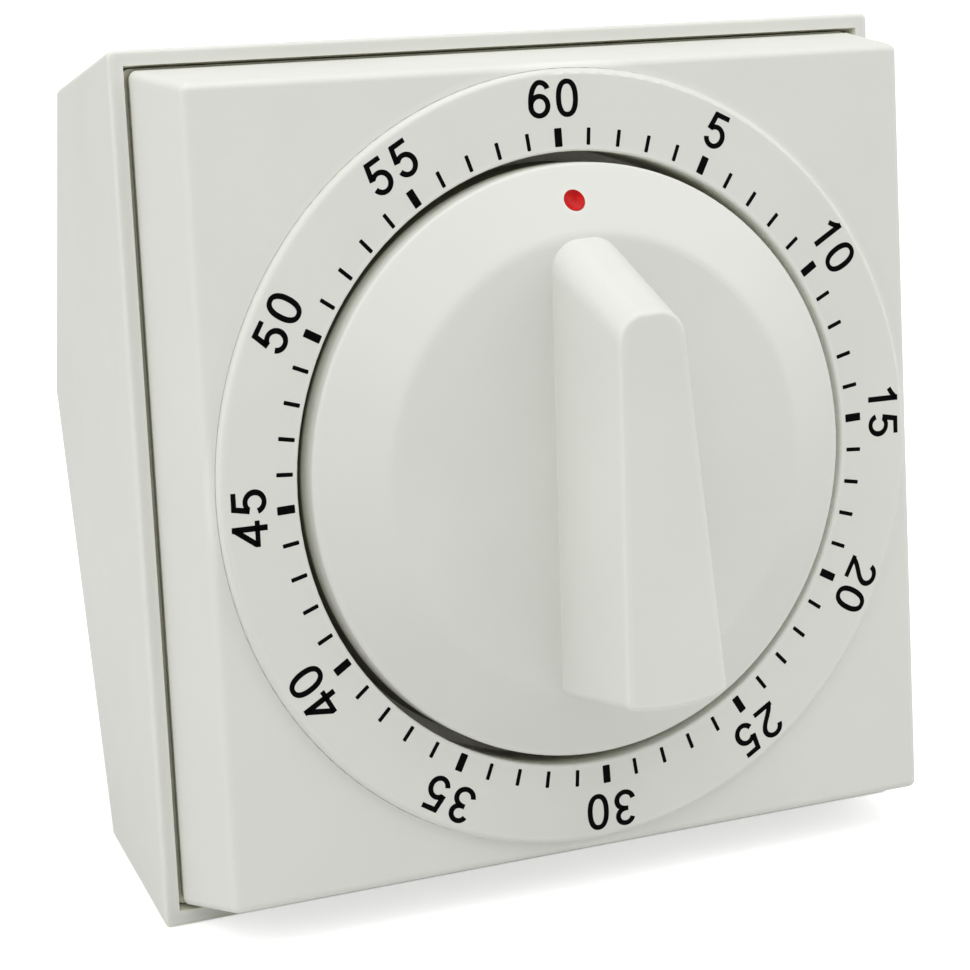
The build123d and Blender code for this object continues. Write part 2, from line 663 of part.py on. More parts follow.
def toothed_outline(teeth, module, addendum, phase):
    """Involute outline with one tooth on the phase bearing, each flank an arc."""
    pitch_radius = module * teeth / 2
    base_radius = pitch_radius * cos(radians(PRESSURE))
    tip_radius = pitch_radius + addendum * module
    root_radius = pitch_radius - DEDENDUM * module
    flank_start = max(base_radius, root_radius)
    half_tooth = pi / (2 * teeth) - BACKLASH / (4 * pitch_radius)

    def flank(radius):
        """Half of the tooth's angle at a radius, in degrees."""
        return degrees(half_tooth + involute(radians(PRESSURE)) - involute(acos(base_radius / radius)))

    flank_middle = (flank_start + tip_radius) / 2
    with BuildLine() as outline:
        for tooth in range(teeth):
            middle = phase + 360 * tooth / teeth
            next_middle = middle + 360 / teeth
            ThreePointArc(
                ray(flank_start, middle - flank(flank_start)),
                ray(flank_middle, middle - flank(flank_middle)),
                ray(tip_radius, middle - flank(tip_radius)),
            )
            Line(ray(tip_radius, middle - flank(tip_radius)), ray(tip_radius, middle + flank(tip_radius)))
            ThreePointArc(
                ray(tip_radius, middle + flank(tip_radius)),
                ray(flank_middle, middle + flank(flank_middle)),
                ray(flank_start, middle + flank(flank_start)),
            )
            root_end = ray(flank_start, middle + flank(flank_start))
            next_start = ray(flank_start, next_middle - flank(flank_start))
            if root_radius < base_radius:
                Polyline(
                    root_end,
                    ray(root_radius, middle + flank(flank_start)),
                    ray(root_radius, next_middle - flank(flank_start)),
                    next_start,
                )
            else:
                Line(root_end, next_start)
    make_face(outline.edges())


def meshing_phase(driver_phase, driver_teeth, bearing, teeth):
    """Bearing of a tooth that puts a gap of the driven gear over a tooth of its driver."""
    return bearing + 180 + (180 - (driver_phase - bearing) * driver_teeth) / teeth


def wheel(centre, teeth, module, phase, depth, bore):
    """Spoked wheel of the train."""
    window_inner = bore + WHEEL_HUB * module
    window_outer = module * teeth / 2 - WHEEL_RIM * module
    half_pitch = sin(pi / WHEEL_WINDOWS)
    widest = (window_outer * half_pitch - SPOKE_WIDTH / 2) / (1 + half_pitch)
    window_radius = min((window_outer - window_inner) / 2, widest)
    with BuildSketch(station(centre, depth)) as blank:
        toothed_outline(teeth, module, WHEEL_ADDENDUM, phase)
        Circle(bore, mode=Mode.SUBTRACT)
        with PolarLocations(window_outer - window_radius, WHEEL_WINDOWS):
            Circle(window_radius, mode=Mode.SUBTRACT)
    extrude(blank.sketch, amount=-WHEEL_THICKNESS)


def pivoted_arbor(centre):
    """Arbor with a pivot in each plate."""
    turned(centre, -PLATE_THICKNESS, back_plate_back, PIVOT_RADIUS)
    turned(centre, END_PLAY, PLATE_SPAN - END_PLAY, ARBOR_RADIUS)


def pinion(centre, leaves, module, phase, mate_depth):
    """Leaves of a pinion on its arbor, over the depth of the wheel that they mesh with."""
    with BuildSketch(station(centre, mate_depth - PINION_OVERHANG)) as blank:
        toothed_outline(leaves, module, PINION_ADDENDUM, phase)
    extrude(blank.sketch, amount=-WHEEL_THICKNESS - 2 * PINION_OVERHANG)


main_phase = 0.0
second_phase = meshing_phase(main_phase, MAIN_TEETH, SECOND_BEARING, SECOND_LEAVES)
alarm_phase = meshing_phase(main_phase, MAIN_TEETH, ALARM_BEARING, ALARM_LEAVES)
third_phase = meshing_phase(second_phase, SECOND_TEETH, THIRD_BEARING, THIRD_LEAVES)
escape_phase = meshing_phase(third_phase, THIRD_TEETH, ESCAPE_BEARING, ESCAPE_LEAVES)
arbor_bore = ARBOR_RADIUS + SLIP

with BuildPart() as main_wheel:
    wheel(MAIN, MAIN_TEETH, MAIN_MODULE, main_phase, MAIN_DEPTH, MAIN_RADIUS + SLIP)
write(main_wheel, "main_wheel")

with BuildPart() as second_pinion:
    pivoted_arbor(SECOND)
    pinion(SECOND, SECOND_LEAVES, MAIN_MODULE, second_phase, MAIN_DEPTH)
write(second_pinion, "second_pinion")

with BuildPart() as second_wheel:
    wheel(SECOND, SECOND_TEETH, SECOND_MODULE, second_phase, SECOND_DEPTH, arbor_bore)
write(second_wheel, "second_wheel")

with BuildPart() as third_pinion:
    pivoted_arbor(THIRD)
    pinion(THIRD, THIRD_LEAVES, SECOND_MODULE, third_phase, SECOND_DEPTH)
write(third_pinion, "third_pinion")

with BuildPart() as third_wheel:
    wheel(THIRD, THIRD_TEETH, THIRD_MODULE, third_phase, THIRD_DEPTH, arbor_bore)
write(third_wheel, "third_wheel")

with BuildPart() as escape_pinion:
    pivoted_arbor(ESCAPE)
    pinion(ESCAPE, ESCAPE_LEAVES, THIRD_MODULE, escape_phase, THIRD_DEPTH)
write(escape_pinion, "escape_pinion")

with BuildPart() as alarm_pinion:
    pivoted_arbor(ALARM)
    pinion(ALARM, ALARM_LEAVES, MAIN_MODULE, alarm_phase, MAIN_DEPTH)
write(alarm_pinion, "alarm_pinion")

# Main arbor with what it carries
washer_depth = MAIN_DEPTH + WHEEL_THICKNESS
collar_depth = washer_depth + WASHER_DISH + WASHER_THICKNESS
clip_depth = back_plate_back + END_PLAY
arbor_end = clip_depth + CLIP_THICKNESS + MAIN_END_GAP
knob_end_depth = gap_front - knob_flat + MAIN_END_GAP

with BuildPart() as main_arbor:
    turned(MAIN, knob_end_depth, arbor_end, MAIN_RADIUS)
    turned(MAIN, collar_depth, collar_depth + COLLAR_THICKNESS, COLLAR_RADIUS)
    turned(MAIN, collar_depth, SPRING_DEPTH + SPRING_WIDTH, SPRING_HUB_RADIUS)
    with BuildSketch(at(knob_flat, DIAL_TWIST)):
        with Locations((0, 2 * MAIN_RADIUS - MAIN_FLAT)):
            Rectangle(2 * MAIN_RADIUS, 2 * MAIN_RADIUS)
    extrude(amount=knob_foot - knob_flat, mode=Mode.SUBTRACT)
    with BuildSketch(station(MAIN, clip_depth)):
        Circle(MAIN_RADIUS)
        Circle(MAIN_RADIUS - MAIN_FLAT, mode=Mode.SUBTRACT)
    extrude(amount=-CLIP_THICKNESS - SLIP, mode=Mode.SUBTRACT)
write(main_arbor, "main_arbor")

with BuildPart() as arbor_clip:
    with BuildSketch(station(MAIN, clip_depth)):
        Circle(CLIP_RADIUS)
        Circle(MAIN_RADIUS - MAIN_FLAT + SLIP, mode=Mode.SUBTRACT)
        with Locations((0, -CLIP_RADIUS)):
            Rectangle(CLIP_MOUTH, 2 * CLIP_RADIUS, mode=Mode.SUBTRACT)
    extrude(amount=-CLIP_THICKNESS)
write(arbor_clip, "arbor_clip")

with BuildPart() as clutch_washer:
    with BuildSketch(RADIAL):
        with BuildLine():
            washer_front = gap_front - washer_depth
            Polyline(
                (MAIN_RADIUS + SLIP, washer_front - WASHER_DISH),
                (WASHER_RADIUS, washer_front),
                (WASHER_RADIUS, washer_front - WASHER_THICKNESS),
                (MAIN_RADIUS + SLIP, washer_front - WASHER_DISH - WASHER_THICKNESS),
                close=True,
            )
        make_face()
    revolve(axis=AXIS)
    with BuildSketch(station(MAIN, washer_depth)):
        with PolarLocations(WASHER_RADIUS, WASHER_ARMS):
            Circle(WASHER_SCALLOP)
    extrude(amount=-2 * (WASHER_DISH + WASHER_THICKNESS), mode=Mode.SUBTRACT)
write(clutch_washer, "clutch_washer")

with BuildPart() as alarm_cam:
    with BuildSketch(station(MAIN, CAM_DEPTH)):
        Circle(CAM_RADIUS)
        Circle(MAIN_RADIUS + SLIP, mode=Mode.SUBTRACT)
        notch_floor = CAM_RADIUS - NOTCH_DEPTH
        with BuildLine():
            Polyline(
                ray(notch_floor, NOTCH_BEARING - NOTCH_HALF_ANGLE),
                ray(2 * CAM_RADIUS, NOTCH_BEARING - NOTCH_HALF_ANGLE),
                ray(2 * CAM_RADIUS, NOTCH_BEARING + NOTCH_HALF_ANGLE),
                ray(notch_floor, NOTCH_BEARING + NOTCH_HALF_ANGLE),
                close=True,
            )
        make_face(mode=Mode.SUBTRACT)
    extrude(amount=-CAM_THICKNESS)
write(alarm_cam, "alarm_cam")


# Spiral springs, each a chain of half circles about two centres with a hook over a post
def spiral_strip(inner_radius, thickness, step, half_turns, hook_radius):
    """Outline of a flat spiral that starts round a hub and ends in a half hook over a post."""
    half = thickness / 2
    outer_end = inner_radius + half_turns * step
    hook_x = outer_end - step * (half_turns % 2) + hook_radius
    with BuildLine() as strip:
        for turn in range(half_turns):
            centre = (step * (turn % 2), 0)
            start = 180 * (turn % 2)
            radius = inner_radius + turn * step
            CenterArc(centre, radius - half, start, 180)
            CenterArc(centre, radius + half, start, 180)
        Line((inner_radius - half, 0), (inner_radius + half, 0))
        CenterArc((hook_x, 0), hook_radius + half, 0, 180)
        CenterArc((hook_x, 0), hook_radius - half, 0, 180)
        Line((hook_x + hook_radius - half, 0), (hook_x + hook_radius + half, 0))
    make_face(strip.edges())


def spiral_post_place(inner_radius, step, half_turns, hook_radius):
    """Distance of the hook's post from the spiral's hub."""
    return inner_radius + half_turns * step + hook_radius


spring_start = SPRING_HUB_RADIUS + SLIP + SPRING_THICKNESS / 2
spring_hook = SPRING_POST_RADIUS + RUNNING_FIT + SPRING_THICKNESS / 2
SPRING_POST = step_from(
    MAIN, spiral_post_place(spring_start, SPRING_STEP, SPRING_HALF_TURNS, spring_hook), SPRING_BEARING
)

with BuildPart() as mainspring:
    with BuildSketch(station(MAIN, SPRING_DEPTH, SPRING_BEARING)):
        spiral_strip(spring_start, SPRING_THICKNESS, SPRING_STEP, SPRING_HALF_TURNS, spring_hook)
    extrude(amount=-SPRING_WIDTH)
write(mainspring, "mainspring")

with BuildPart() as mainspring_post:
    turned(SPRING_POST, SPRING_DEPTH, PLATE_SPAN, SPRING_POST_RADIUS)
write(mainspring_post, "mainspring_post")

# Escapement
with BuildPart() as escape_wheel:
    with BuildSketch(station(ESCAPE, SECOND_DEPTH)):
        pitch = 360 / ESCAPE_TEETH
        outline = []
        for tooth in range(ESCAPE_TEETH):
            outline.append(ray(ESCAPE_ROOT, tooth * pitch))
            outline.append(ray(ESCAPE_RADIUS, (tooth + TOOTH_HEEL) * pitch))
            outline.append(ray(ESCAPE_RADIUS, (tooth + TOOTH_TOE) * pitch))
            outline.append(ray(ESCAPE_ROOT, (tooth + TOOTH_FRONT) * pitch))
        with BuildLine():
            Polyline(*outline, close=True)
        make_face()
        Circle(arbor_bore, mode=Mode.SUBTRACT)
        with PolarLocations((ESCAPE_ROOT + arbor_bore) / 2, WHEEL_WINDOWS):
            Circle((ESCAPE_ROOT - arbor_bore) / 4, mode=Mode.SUBTRACT)
    extrude(amount=-WHEEL_THICKNESS)
write(escape_wheel, "escape_wheel")

pin_circle = ESCAPE_RADIUS + PALLET_PIN_CLEARANCE + PALLET_PIN_RADIUS
PALLET_PINS = [
    step_from(ESCAPE, pin_circle, PALLET_BEARING + side * PALLET_SPREAD) for side in (-1, 1)
]

with BuildPart() as pallet_arbor:
    pivoted_arbor(PALLET)
write(pallet_arbor, "pallet_arbor")

with BuildPart() as pallet_lever:
    lever_depth = THIRD_DEPTH + WHEEL_THICKNESS + 2 * PINION_OVERHANG + 2 * END_PLAY
    with BuildSketch(station(MAIN, lever_depth)):
        with Locations(PALLET):
            Circle(2 * ARBOR_RADIUS)
        for pin in PALLET_PINS:
            with BuildLine():
                Line(PALLET, pin)
            trace(line_width=PALLET_ARM)
            with Locations(pin):
                Circle(PALLET_ARM / 2)
        with Locations(PALLET):
            Circle(arbor_bore, mode=Mode.SUBTRACT)
    extrude(amount=-WHEEL_THICKNESS)
    for pin in PALLET_PINS:
        turned(pin, lever_depth, SECOND_DEPTH + WHEEL_THICKNESS, PALLET_PIN_RADIUS)
write(pallet_lever, "pallet_lever")

with BuildPart() as balance_wheel:
    with BuildSketch(station(PALLET, BALANCE_DEPTH)):
        Circle(BALANCE_RADIUS)
        Circle(BALANCE_RADIUS - BALANCE_RIM, mode=Mode.SUBTRACT)
        with PolarLocations(0, BALANCE_SPOKES, angular_range=180):
            Rectangle(2 * BALANCE_RADIUS - BALANCE_RIM, BALANCE_RIM)
        Circle(2 * ARBOR_RADIUS)
        Circle(arbor_bore, mode=Mode.SUBTRACT)
    extrude(amount=-BALANCE_THICKNESS)
write(balance_wheel, "balance_wheel")

hair_start = ARBOR_RADIUS + SLIP + HAIR_THICKNESS / 2
hair_hook = HAIR_STUD_RADIUS + RUNNING_FIT + HAIR_THICKNESS / 2
HAIR_STUD = step_from(
    PALLET, spiral_post_place(hair_start, HAIR_STEP, HAIR_HALF_TURNS, hair_hook), HAIR_BEARING
)

with BuildPart() as hairspring:
    with BuildSketch(station(PALLET, HAIRSPRING_DEPTH, HAIR_BEARING)):
        spiral_strip(hair_start, HAIR_THICKNESS, HAIR_STEP, HAIR_HALF_TURNS, hair_hook)
    extrude(amount=-HAIR_WIDTH)
write(hairspring, "hairspring")

with BuildPart() as hairspring_stud:
    turned(HAIR_STUD, HAIRSPRING_DEPTH, PLATE_SPAN, HAIR_STUD_RADIUS)
write(hairspring_stud, "hairspring_stud")

# Alarm: star wheel, hammer, detent lever and bell
with BuildPart() as alarm_star_wheel:
    with BuildSketch(station(ALARM, STAR_DEPTH)):
        outline = []
        for point in range(STAR_POINTS):
            outline.append(ray(STAR_RADIUS, 360 * point / STAR_POINTS))
            outline.append(ray(STAR_ROOT, 360 * (point + 0.5) / STAR_POINTS))
        with BuildLine():
            Polyline(*outline, close=True)
        make_face()
        Circle(arbor_bore, mode=Mode.SUBTRACT)
    extrude(amount=-WHEEL_THICKNESS)
write(alarm_star_wheel, "alarm_star_wheel")


def bar(start, end, width):
    """Straight arm with round ends, in the sketch of the dial's plane."""
    with BuildLine() as middle:
        Line(start, end)
    trace(middle.edges(), line_width=width)
    with Locations(start, end):
        Circle(width / 2)


arm_depth = back_plate_back + ARM_SETBACK
head_depth = arm_depth + HAMMER_THICKNESS
strike_place = step_from(BELL, BELL_RADIUS + HEAD_RADIUS + HAMMER_PLAY, HAMMER_STRIKE)
strike_reach = hypot(strike_place[0] - HAMMER[0], strike_place[1] - HAMMER[1])
strike_bearing = degrees(atan2(strike_place[1] - HAMMER[1], strike_place[0] - HAMMER[0]))
HEAD = step_from(HAMMER, strike_reach, strike_bearing - HAMMER_SWING)
tail_reach = HAMMER_DISTANCE - STAR_RADIUS - TAIL_CLEARANCE
lock_bearing = degrees(atan2(STUD[1] - HAMMER[1], STUD[0] - HAMMER[0]))

with BuildPart() as hammer_arbor:
    pivoted_arbor(HAMMER)
    turned(HAMMER, PLATE_SPAN, head_depth, PIVOT_RADIUS)
    with BuildSketch(station(MAIN, STAR_DEPTH)):
        bar(HAMMER, step_from(HAMMER, tail_reach - TAIL_WIDTH / 2, HAMMER_BEARING + 180), TAIL_WIDTH)
    extrude(amount=-WHEEL_THICKNESS)
    with BuildSketch(station(MAIN, CAM_DEPTH)):
        bar(HAMMER, step_from(HAMMER, LOCK_ARM - TAIL_WIDTH / 2, lock_bearing), TAIL_WIDTH)
    extrude(amount=-CAM_THICKNESS)
write(hammer_arbor, "hammer_arbor")

with BuildPart() as hammer_arm:
    with BuildSketch(station(MAIN, arm_depth)):
        bar(HAMMER, HEAD, HAMMER_WIDTH)
        with Locations(HAMMER):
            Circle(PIVOT_RADIUS + SLIP, mode=Mode.SUBTRACT)
        with Locations(HEAD):
            Circle(PIVOT_RADIUS + SLIP, mode=Mode.SUBTRACT)
    extrude(amount=-HAMMER_THICKNESS)
write(hammer_arm, "hammer_arm")

with BuildPart() as hammer_head:
    turned(HEAD, head_depth, head_depth + HEAD_LENGTH, HEAD_RADIUS)
    turned(HEAD, arm_depth, head_depth, PIVOT_RADIUS)
write(hammer_head, "hammer_head")

with BuildPart() as detent_lever:
    with BuildSketch(station(MAIN, CAM_DEPTH)):
        bar(STUD, ELBOW, LEVER_WIDTH)
        bar(STUD, step_from(STUD, LEVER_TAIL, lock_bearing + 180), LEVER_WIDTH)
        with BuildLine():
            Line(ELBOW, FINGER)
        trace(line_width=FINGER_WIDTH)
        with Locations(STUD):
            Circle(LEVER_WIDTH)
            Circle(STUD_RADIUS + RUNNING_FIT, mode=Mode.SUBTRACT)
    extrude(amount=-CAM_THICKNESS)
write(detent_lever, "detent_lever")

with BuildPart() as detent_stud:
    lever_back = CAM_DEPTH + CAM_THICKNESS + RUNNING_FIT
    turned(STUD, -PLATE_THICKNESS, lever_back, STUD_RADIUS)
    turned(STUD, 0, CAM_DEPTH - RUNNING_FIT, STUD_HEAD_RADIUS)
    turned(STUD, lever_back, lever_back + STUD_HEAD, STUD_HEAD_RADIUS)
write(detent_stud, "detent_stud")

with BuildPart() as detent_spring:
    leaf_end = step_from(ELBOW, LEVER_WIDTH / 2 + LEAF_PLAY + LEAF_THICKNESS / 2, NOTCH_BEARING)
    leaf_foot = step_from(leaf_end, LEAF_LENGTH, NOTCH_BEARING + 90)
    with BuildSketch(station(MAIN, CAM_DEPTH)):
        bar(leaf_foot, leaf_end, LEAF_THICKNESS)
    extrude(amount=-LEAF_WIDTH)
    turned(leaf_foot, 0, CAM_DEPTH + LEAF_WIDTH, LEAF_FOOT_RADIUS)
write(detent_spring, "detent_spring")

bell_mouth_depth = back_plate_back + BELL_SETBACK
bell_rear_depth = bell_mouth_depth + BELL_RISE
bell_axis = Axis(DIAL.from_local_coords((BELL[0], BELL[1], 0)), OUT)

with BuildPart() as movement_back_plate:
    with BuildSketch(station(MAIN, PLATE_SPAN)):
        plate_outline()
        plate_holes()
        with Locations(BELL):
            Circle(BELL_SPIGOT + SLIP, mode=Mode.SUBTRACT)
    extrude(amount=-PLATE_THICKNESS)
write(movement_back_plate, "movement_back_plate")

with BuildPart() as bell:
    with BuildSketch(Plane(bell_axis.position, x_dir=(1, 0, 0), z_dir=-UP)):
        mouth = gap_front - bell_mouth_depth
        rear = gap_front - bell_rear_depth
        bore = BELL_SPIGOT + SLIP
        with BuildLine():
            Line((bore, rear), (BELL_FLAT, rear))
            TangentArc((BELL_FLAT, rear), (BELL_RADIUS, mouth), tangent=(1, 0))
            Line((BELL_RADIUS, mouth), (BELL_RADIUS - BELL_WALL, mouth))
            TangentArc((BELL_FLAT, rear + BELL_WALL), (BELL_RADIUS - BELL_WALL, mouth), tangent=(1, 0))
            Line((BELL_FLAT, rear + BELL_WALL), (bore, rear + BELL_WALL))
            Line((bore, rear + BELL_WALL), (bore, rear))
        make_face()
    revolve(axis=bell_axis)
write(bell, "bell")

with BuildPart() as bell_post:
    turned(BELL, back_plate_back, bell_rear_depth - BELL_WALL, BELL_POST_RADIUS)
    turned(BELL, PLATE_SPAN, bell_rear_depth + NUT_HEIGHT + MAIN_END_GAP, BELL_SPIGOT)
write(bell_post, "bell_post")

with BuildPart() as bell_nut:
    with BuildSketch(station(BELL, bell_rear_depth)):
        RegularPolygon(BELL_NUT_RADIUS, 6)
        Circle(BELL_SPIGOT + SLIP, mode=Mode.SUBTRACT)
    extrude(amount=-NUT_HEIGHT)
write(bell_nut, "bell_nut")
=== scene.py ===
import json
from math import ceil, copysign, cos, radians, sin

import bmesh
import bpy
from mathutils import Matrix, Vector


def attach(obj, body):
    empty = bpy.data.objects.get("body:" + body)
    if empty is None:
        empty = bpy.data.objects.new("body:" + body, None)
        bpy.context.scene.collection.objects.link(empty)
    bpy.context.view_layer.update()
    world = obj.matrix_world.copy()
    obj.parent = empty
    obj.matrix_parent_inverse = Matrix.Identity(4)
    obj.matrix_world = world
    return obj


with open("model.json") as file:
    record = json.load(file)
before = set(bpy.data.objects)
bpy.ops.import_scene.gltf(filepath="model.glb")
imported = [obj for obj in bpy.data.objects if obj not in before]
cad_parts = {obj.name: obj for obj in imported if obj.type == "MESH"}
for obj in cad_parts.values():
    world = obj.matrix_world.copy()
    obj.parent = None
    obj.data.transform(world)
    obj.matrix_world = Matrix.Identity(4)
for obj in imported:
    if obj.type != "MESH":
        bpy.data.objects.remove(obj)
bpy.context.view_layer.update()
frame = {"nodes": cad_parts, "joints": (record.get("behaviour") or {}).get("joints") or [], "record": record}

# Mechanical kitchen timer: the printed scale, the finish of every piece, light and camera.
# Metres, in the frame of the solids: X right, the face looks to -Y, Z up.
MM = 0.001

# Scale on the dial ring, in millimetres and degrees
SCALE_TWIST = 2.0  # whole scale, anticlockwise against the case
SCALE_OFFSET = Vector((0.08, -0.04))  # of the print from the dial's axis
MINUTES = 60
NUMBER_STEP = 5
TICK_RADIUS = 31.84
MINOR_TICK = (0.40, 1.68)  # width and length
MAJOR_TICK = (0.81, 1.82)
TICK_CORNER = 0.06
NUMBER_RADIUS = 35.61
NUMBER_LEAN = 2.4  # of a number of two digits, clockwise against its mark
NUMBER_SHIFT = -0.25  # and to the right of it
SINGLE_LEAN = -2.4  # of a single digit
SINGLE_SHIFT = 0.02
DIGIT_WIDTH = 2.42
DIGIT_HEIGHT = 3.69
DIGIT_PITCH = 3.05
STEM_WIDTH = 0.565  # of upright strokes
BAR_WIDTH = 0.50  # of level strokes
MITRE_LIMIT = 0.35  # least cosine that a stroke's corner is drawn out by
ARC_STEP = 6  # between the points of an oval
SAME_POINT = 1e-6
INK_RISE = 0.012  # print above the ring's face
INK_ROOT = 0.03  # and below it, so that no two faces share a plane

# Camera, fitted to the photograph
CAMERA_PLACE = Vector((-136.206, -261.327, 120.920)) * MM
CAMERA_AZIMUTH = -27.1860
CAMERA_ELEVATION = 15.9032
CAMERA_ROLL = 0.8322
CAMERA_LENS = 109.26
SENSOR = 36.0
CAMERA_CLIP = 0.01  # nearest distance seen, in metres

# Light: places and widths in metres, powers in watts
WORLD_STRENGTH = 0.413
LAMP_TARGET = Vector((0, 0, 0.042))  # middle of the timer
LAMPS = {  # place, width and power of each soft box
    "top_box": (Vector((0.10, -0.14, 0.80)), 0.7, 2.85),
    "left_box": (Vector((-0.66, 0.04, 0.51)), 0.6, 2.19),
    "front_box": (Vector((-0.35, -0.40, 0.65)), 0.5, 0.86),
    "right_box": (Vector((0.60, -0.30, 0.40)), 0.5, 1.07),
}
FLOOR_SIZE = 6.0
FLOOR_COLOUR = (0.80, 0.80, 0.80, 1)
FLOOR_ROUGHNESS = 0.9
FLOOR_GLOW = 0.57  # lifts the lit floor to white for the camera alone
FLOOR_DROP = 0.00005  # keeps it clear of the timer's underside

# Plastic: sizes in millimetres
OFF_WHITE = (0.722, 0.730, 0.682)
SHELL_GAP_LIGHT = (0.96, 0.95, 0.80)  # painted light: paler, warmer walls in the gap of the shells, as light bounced inside it
DIAL_GAP_LIGHT = (0.95, 0.96, 0.89)  # the same painted light in the gap round the knob
PAINTED_GAP_SHADE = (0.10, 0.095, 0.06)  # painted shade at the bottom of the gaps
FLOW_SIZE = 22  # of faint clouds in the colour
FLOW_TINTS = (0.975, 1.02)
# Painted highlight: convex edges are drawn lighter than the plastic's own colour
EDGE_HIGHLIGHT_REACH = 0.9
EDGE_HIGHLIGHT_SHARES = (0.88, 0.45)  # of solid around an edge, where its painted highlight begins and is full
EDGE_HIGHLIGHT_TINT = 1.12
GAP_REACH = 3.0
GAP_LIGHT_SHARES = (0.48, 0.26)  # of open air, where the painted light in the gaps begins and is full
GAP_SHADE_SHARES = (0.045, 0.0)  # and where the painted shade does
WELL_SHADE_DEPTHS = (1.7, 2.2)  # below the ring's face, where painted shade begins and where it covers the walls
GLOSS_SIZE = 7  # of patches that differ in gloss
GLOSS_SPREAD = 0.05
SINK_SIZE = 14  # of shallow sink marks
SINK_DEPTH = 0.02
GRAIN_SIZE = 0.28
GRAIN_DEPTH = 0.006
PLASTIC_IOR = 1.49

# Paint, print and metals
RED_THICK = (0.44, 0.001, 0.001)
RED_THIN = (0.62, 0.006, 0.004)
INK_DARK = (0.0005, 0.0005, 0.0005)
INK_PALE = (0.002, 0.002, 0.002)
PLATE_STEEL = (0.60, 0.60, 0.61)
ZINC = (0.56, 0.56, 0.55)
ZINC_STAIN = (0.44, 0.44, 0.42)
TURNED_STEEL = (0.52, 0.52, 0.54)
BLUED_STEEL = (0.22, 0.25, 0.32)
BLUED_STAIN = (0.30, 0.26, 0.24)
BRASS = (0.74, 0.53, 0.21)
BRASS_STAIN = (0.55, 0.36, 0.13)
BELL_PLATE = (0.66, 0.66, 0.65)
BELL_STAIN = (0.55, 0.54, 0.52)
LINE_TINT = 0.86  # of the dark lines in brushed metal
ROLLED = (1, 12, 12)  # stretch of the grain along each axis
TURNED = (8, 1, 8)

# The dial's own frame, from the knob's joint
knob_joint = next(joint for joint in frame["joints"] if joint["name"] == "knob_turn")
CENTRE = Vector(knob_joint["pos_m"])
OUT = -Vector(knob_joint["axis"]).normalized()
RIGHT = Vector((1, 0, 0))
UP = OUT.cross(RIGHT)


def front_height(node):
    """Height of a node's foremost point along the dial's axis."""
    vertices = frame["nodes"][node].data.vertices
    return max((vertex.co - CENTRE).dot(OUT) for vertex in vertices)


def dial_matrix(height):
    """Places a drawing in X and Y on the dial, a height ahead of the knob joint's origin."""
    turn = Matrix((RIGHT, UP, OUT)).transposed().to_4x4()
    return Matrix.Translation(CENTRE + OUT * height) @ turn


# Printed scale
def oval(x, y, radius_x, radius_y, start, end, fullness=2.0):
    """Points along the arc of an oval, angles in degrees, an ellipse at a fullness of 2."""
    count = ceil(abs(end - start) / ARC_STEP) + 1
    points = []
    for i in range(count):
        angle = radians(start + (end - start) * i / (count - 1))
        across = copysign(abs(cos(angle)) ** (2 / fullness), cos(angle))
        along = copysign(abs(sin(angle)) ** (2 / fullness), sin(angle))
        points.append(Vector((x + radius_x * across, y + radius_y * along)))
    return points


def bend(start, pull_start, pull_end, end):
    """Points along a cubic curve."""
    steps = 12
    points = []
    for i in range(steps + 1):
        t = i / steps
        weights = ((1 - t) ** 3, 3 * t * (1 - t) ** 2, 3 * t * t * (1 - t), t ** 3)
        corners = (start, pull_start, pull_end, end)
        points.append(sum((Vector(c) * w for c, w in zip(corners, weights)), Vector((0, 0))))
    return points


def straight(*points):
    """Corners of a stroke made of straight runs."""
    return [Vector(p) for p in points]


def digit_strokes():
    """Middle lines of the digits' strokes, from the lower left corner, in millimetres."""
    middle = DIGIT_WIDTH / 2
    half = middle - STEM_WIDTH / 2
    low = BAR_WIDTH / 2
    top = DIGIT_HEIGHT - low
    foot = 0.03  # square ends stay inside the rounds' top and bottom
    head = DIGIT_HEIGHT - 0.04
    return {
        "0": [oval(middle, DIGIT_HEIGHT / 2, half, DIGIT_HEIGHT / 2 - low, 0, 360, 2.3)],
        "1": [
            straight((1.53, foot), (1.53, head)),
            bend((1.55, 3.48), (1.30, 3.14), (0.94, 2.84), (0.50, 2.60)),
        ],
        "2": [
            oval(1.20, 2.60, half, top - 2.60, 174, -14)
            + bend((2.09, 2.39), (1.92, 1.68), (0.66, 1.12), (0.36, 0.30))[1:],
            straight((0.02, foot + low), (2.40, foot + low)),
        ],
        "3": [
            oval(1.14, 2.70, 0.83, top - 2.70, 168, -88),
            oval(1.17, 1.08, half, 1.08 - low, 84, -170),
            straight((0.80, 1.935), (1.32, 1.935)),
        ],
        "4": [
            straight((1.76, foot), (1.76, head)),
            straight((1.74, 3.385), (0.18, 1.135)),
            straight((-0.03, 1.06), (2.48, 1.06)),
        ],
        "5": [
            straight((2.20, 3.34), (0.66, 3.34), (0.38, 1.74)),
            oval(1.20, 1.21, half - 0.01, 1.21 - low, 139, -163),
        ],
        "6": [
            oval(middle, 1.185, half, 1.185 - low, 0, 360),
            oval(1.27, 2.66, 0.86, top - 2.66, 12, 90)
            + oval(1.27, 1.55, 0.985, top - 1.55, 90, 190)[1:],
        ],
    }


